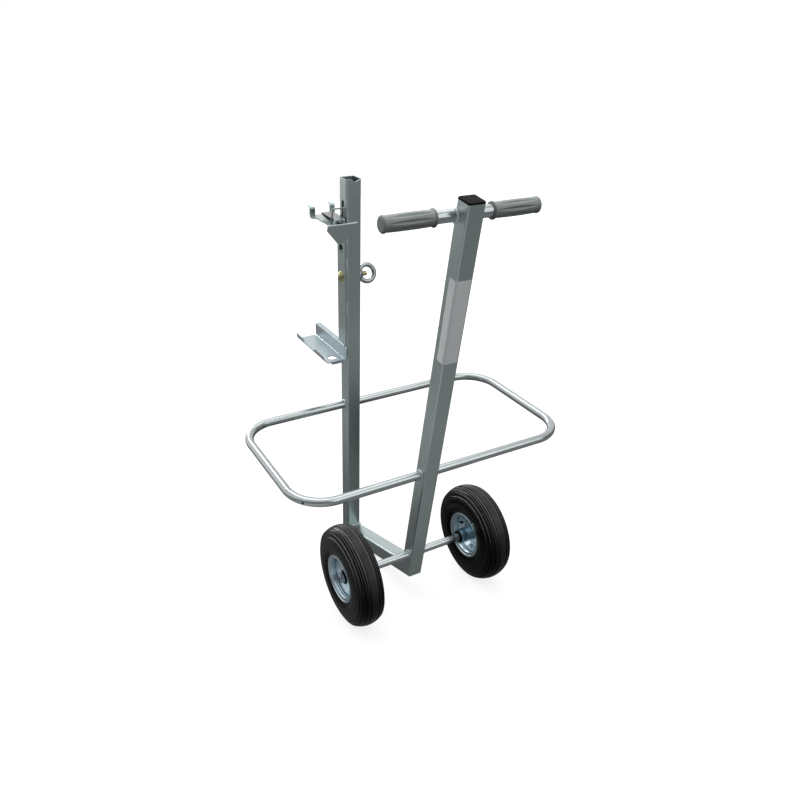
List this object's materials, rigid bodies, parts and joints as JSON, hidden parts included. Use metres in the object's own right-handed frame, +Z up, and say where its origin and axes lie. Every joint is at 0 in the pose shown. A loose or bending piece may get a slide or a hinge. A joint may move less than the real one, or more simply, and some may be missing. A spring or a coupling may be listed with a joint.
{
  "type": "winch transport trolley",
  "caption": "Wheeled hand trolley for a portable winch: leaning square-tube post with tray, hook plate and toggle latch, splayed handle with grips, round guard hoop, pneumatic wheels.",
  "frame": {"origin": "centre of the post foot's sole, on the floor", "axes": "+X to the user's right along the axle, +Y forward from the handle to the post, +Z up from the floor"},
  "size_m": [0.7752, 0.7602, 1.0543],
  "materials": {
    "galvanised": "dull galvanised zinc",
    "light_zinc": "pale passivated zinc",
    "bright_zinc": "bright bluish zinc plate",
    "yellow_zinc": "yellow passivated zinc plate",
    "black_steel": "phosphated spring steel",
    "black_plastic": "matt moulded plastic",
    "grip_rubber": "soft grey grip rubber",
    "tyre_rubber": "matt ribbed tyre rubber",
    "tube_rubber": "smooth black rubber"
  },
  "bodies": {
    "frame": {"axle": "light_zinc", "axle_washer_left": "bright_zinc", "axle_washer_right": "bright_zinc", "backing_plate": "galvanised", "base_tube": "galvanised", "bolt_washer": "yellow_zinc", "circlip_left": "black_steel", "circlip_right": "black_steel", "eye_nut": "bright_zinc", "grip_left": "grip_rubber", "grip_right": "grip_rubber", "handle_cap": "black_plastic", "handle_tube": "galvanised", "handlebar": "light_zinc", "hook_bracket": "galvanised", "hoop_left": "light_zinc", "hoop_right": "light_zinc", "latch_pin": "bright_zinc", "post_foot": "black_plastic", "split_pin_left": "bright_zinc", "split_pin_right": "bright_zinc", "through_bolt": "yellow_zinc", "tray": "light_zinc", "winch_post": "galvanised"},
    "wheel_left": {"bush_inner_left": "black_plastic", "bush_outer_left": "black_plastic", "hub_left": "bright_zinc", "inner_tube_left": "tube_rubber", "rim_inner_left": "bright_zinc", "rim_outer_left": "bright_zinc", "tyre_left": "tyre_rubber", "valve_cap_left": "black_plastic", "valve_stem_left": "tube_rubber"},
    "wheel_right": {"bush_inner_right": "black_plastic", "bush_outer_right": "black_plastic", "hub_right": "bright_zinc", "inner_tube_right": "tube_rubber", "rim_inner_right": "bright_zinc", "rim_outer_right": "bright_zinc", "tyre_right": "tyre_rubber", "valve_cap_right": "black_plastic", "valve_stem_right": "tube_rubber"},
    "latch_lever": {"latch_lever": "bright_zinc"},
    "latch_bail": {"latch_bail": "bright_zinc"}
  },
  "joints": [
    {"name": "wheel_left_spin", "type": "hinge", "parent": "frame", "child": "wheel_left", "pos_m": [-0.187, -0.39355, 0.13], "axis": [1, 0, 0], "continuous": true},
    {"name": "wheel_right_spin", "type": "hinge", "parent": "frame", "child": "wheel_right", "pos_m": [0.187, -0.39355, 0.13], "axis": [1, 0, 0], "continuous": true},
    {"name": "latch_lever_hinge", "type": "hinge", "parent": "frame", "child": "latch_lever", "pos_m": [-0.0388, -0.18498, 0.95692], "axis": [1, 0, 0], "range_deg": [0, 90]},
    {"name": "latch_bail_hinge", "type": "hinge", "parent": "latch_lever", "child": "latch_bail", "pos_m": [-0.0388, -0.17774, 0.95789], "axis": [1, 0, 0], "range_deg": [-80, 36]}
  ]
}
